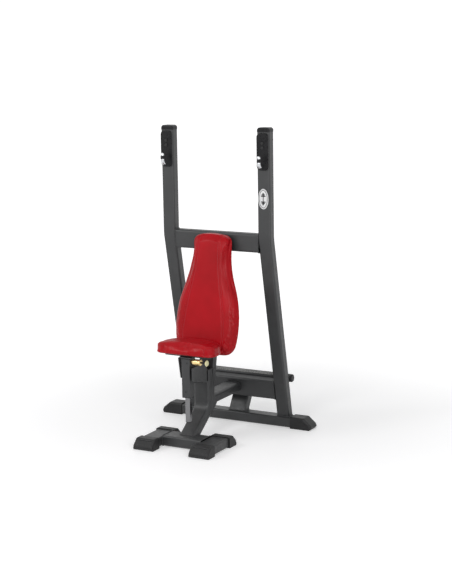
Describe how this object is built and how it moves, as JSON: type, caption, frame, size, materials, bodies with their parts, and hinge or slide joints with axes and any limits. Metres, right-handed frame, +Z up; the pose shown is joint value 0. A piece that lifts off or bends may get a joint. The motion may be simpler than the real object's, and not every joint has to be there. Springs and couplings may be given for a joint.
{
  "type": "olympic military press bench",
  "caption": "Seated barbell shoulder press bench with bent uprights, bar hooks, a red contoured back pad and a height-adjustable seat with a pull pin.",
  "frame": {"origin": "on the floor, at the centre of the bench's footprint", "axes": "+Z up; the lifter faces -Y, so -Y is the front; +X is the lifter's left, the side of the pull knob"},
  "size_m": [1.0166, 0.9889, 1.8],
  "materials": {
    "frame_paint": "satin, fine texture",
    "foot_rubber": "matt",
    "cap_plastic": "satin",
    "red_upholstery": "soft sheen, fine grain",
    "board_wood": "black stained plywood",
    "bright_chrome": "polished",
    "fixings_zinc": "zinc plated",
    "fixings_black": "black oxide",
    "spring_steel": "drawn wire",
    "barrel_brass": "bright",
    "knob_yellow": "glossy",
    "tread_grit": "gritty anti-slip coating",
    "badge_white": "smooth"
  },
  "bodies": {
    "frame": {"back_board": "board_wood", "back_bolts": "fixings_zinc", "back_pad": "red_upholstery", "back_support_post": "frame_paint", "badge": "badge_white", "coil_spring": "spring_steel", "column_cap": "cap_plastic", "column_doubler": "frame_paint", "foot_bar": "frame_paint", "foot_bar_tread": "tread_grit", "front_cross_beam": "frame_paint", "hook_bolts": "fixings_black", "left_bar_hook": "bright_chrome", "left_cheek_plate": "frame_paint", "left_foot_bar_cap": "cap_plastic", "left_foot_bar_saddle": "frame_paint", "left_hook_guard": "cap_plastic", "left_rear_foot": "foot_rubber", "left_runner": "frame_paint", "left_runner_front_foot": "foot_rubber", "left_runner_rear_foot": "foot_rubber", "left_upright": "frame_paint", "left_upright_cap": "cap_plastic", "lower_cross_beam": "frame_paint", "lower_sleeve_bush": "cap_plastic", "main_column": "frame_paint", "pin_barrel": "barrel_brass", "rear_base_beam": "frame_paint", "rear_brace": "frame_paint", "rear_link": "frame_paint", "rear_link_cap": "cap_plastic", "right_bar_hook": "bright_chrome", "right_cheek_plate": "frame_paint", "right_foot_bar_cap": "cap_plastic", "right_foot_bar_saddle": "frame_paint", "right_hook_guard": "cap_plastic", "right_rear_foot": "foot_rubber", "right_runner": "frame_paint", "right_runner_front_foot": "foot_rubber", "right_runner_rear_foot": "foot_rubber", "right_upright": "frame_paint", "right_upright_cap": "cap_plastic", "seat_arm": "frame_paint", "seat_sleeve": "frame_paint", "sleeve_neck": "frame_paint", "sleeve_screws": "fixings_black", "spine_tube": "frame_paint", "upper_cross_beam": "frame_paint", "upper_sleeve_bush": "cap_plastic"},
    "seat": {"seat_post": "bright_chrome", "seat_post_plug": "cap_plastic", "seat_plate": "frame_paint", "seat_board": "board_wood", "seat_pad": "red_upholstery", "seat_screws": "fixings_zinc"},
    "pin": {"locking_pin": "fixings_black", "pull_knob": "knob_yellow"}
  },
  "joints": [
    {"name": "seat_height", "type": "slide", "parent": "frame", "child": "seat", "axis": [0, 0, 1], "range_m": [0, 0.15]},
    {"name": "pop_pin", "type": "slide", "parent": "frame", "child": "pin", "axis": [1, 0, 0], "range_m": [0, 0.012], "stiffness_N_per_m": 900, "springref_m": -0.015, "deforming": ["coil_spring"]}
  ]
}
